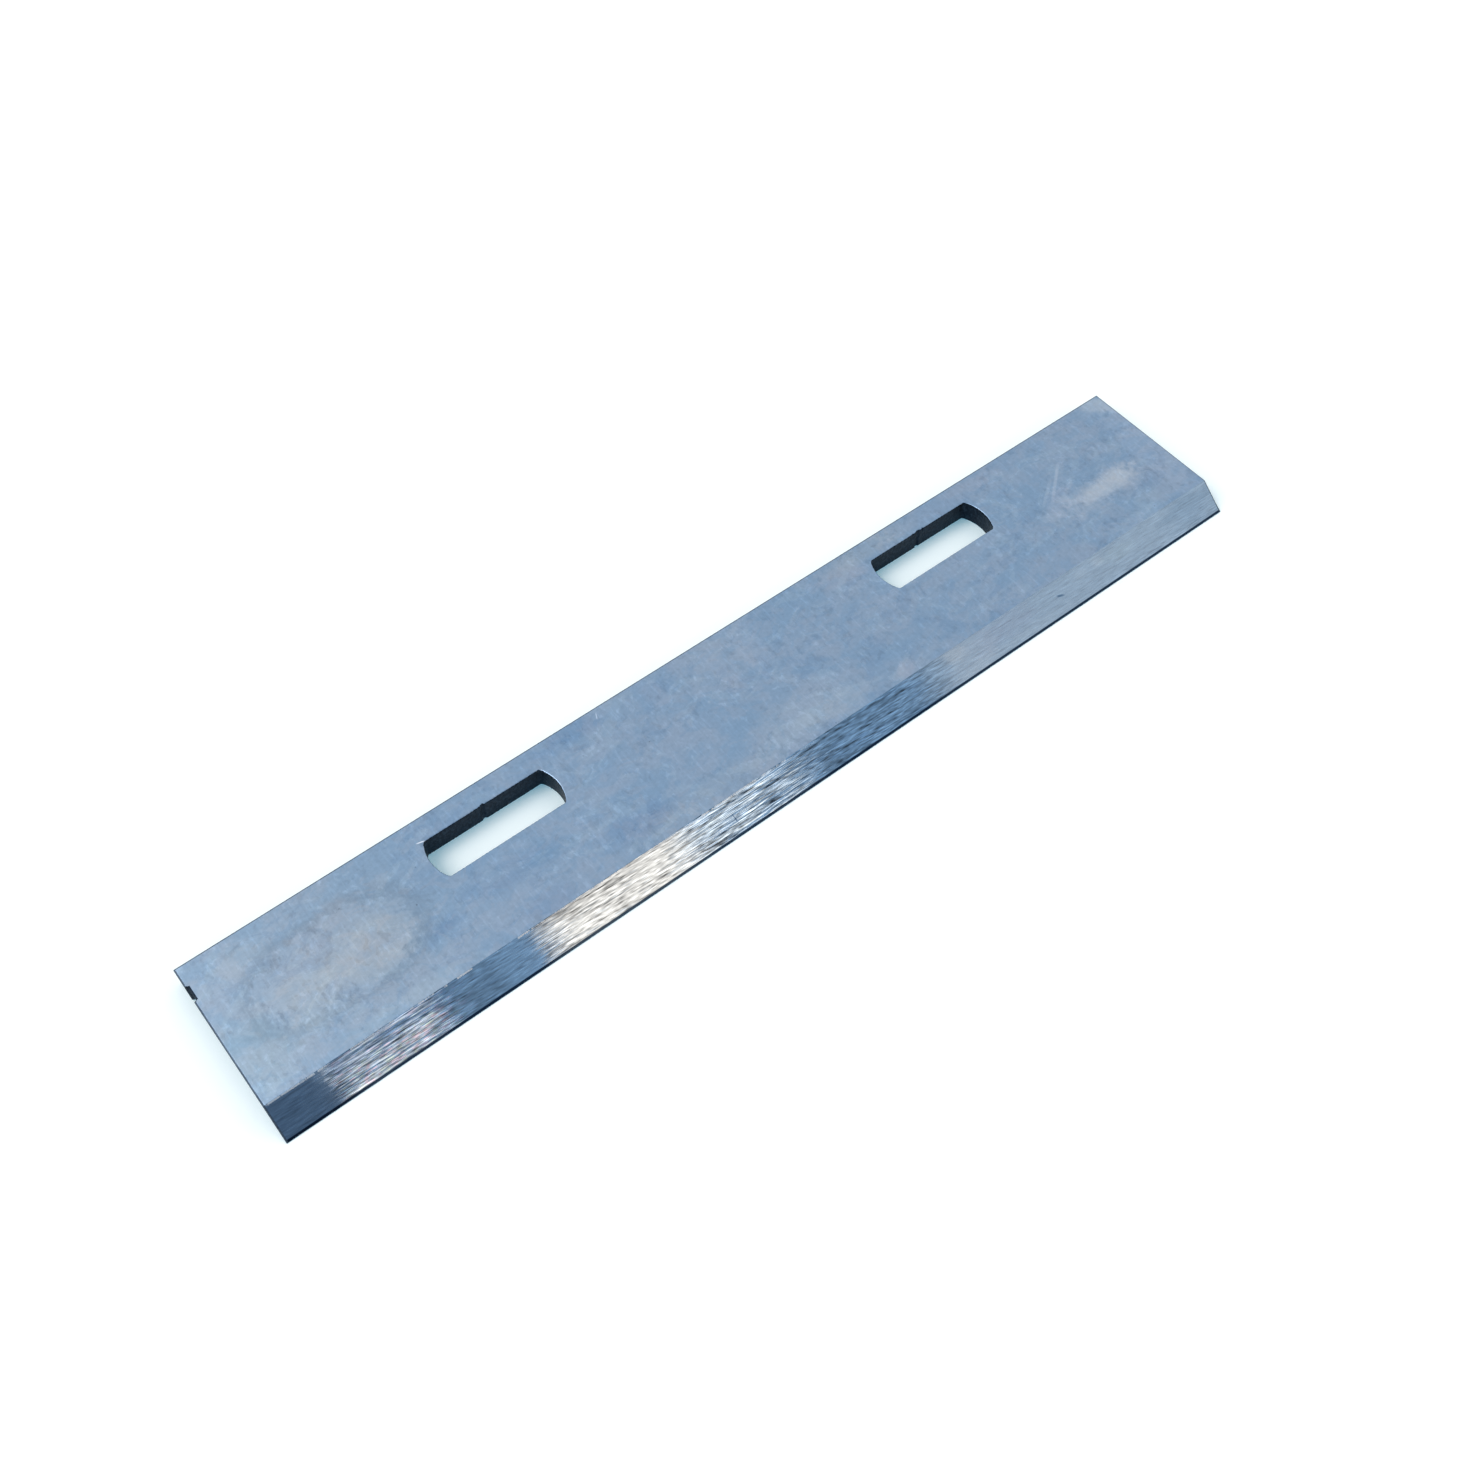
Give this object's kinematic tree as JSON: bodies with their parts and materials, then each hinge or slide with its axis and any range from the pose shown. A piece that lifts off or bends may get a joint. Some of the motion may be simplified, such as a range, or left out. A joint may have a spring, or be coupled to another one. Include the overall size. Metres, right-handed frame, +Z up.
{
  "type": "planer knife",
  "caption": "Flat ground steel planer knife with a single bevelled cutting edge along its front and round-ended slots near its back for the screws that hold it in a cutter block.",
  "frame": {"origin": "middle of the underside, at the knife's lowest plane", "axes": "+X along the cutting edge towards the end without the notch, +Y from the cutting edge to the back edge, +Z up through the thickness, out of the face that the bevel is ground from"},
  "size_m": [0.136, 0.023, 0.003],
  "materials": {
    "ground_steel": "surface-ground flat faces with a faint mottled film, a brighter bevel with fine grinding lines along the edge, and dark rough-cut slot walls"
  },
  "bodies": {
    "root": {"planer_knife": "ground_steel"}
  },
  "joints": []
}
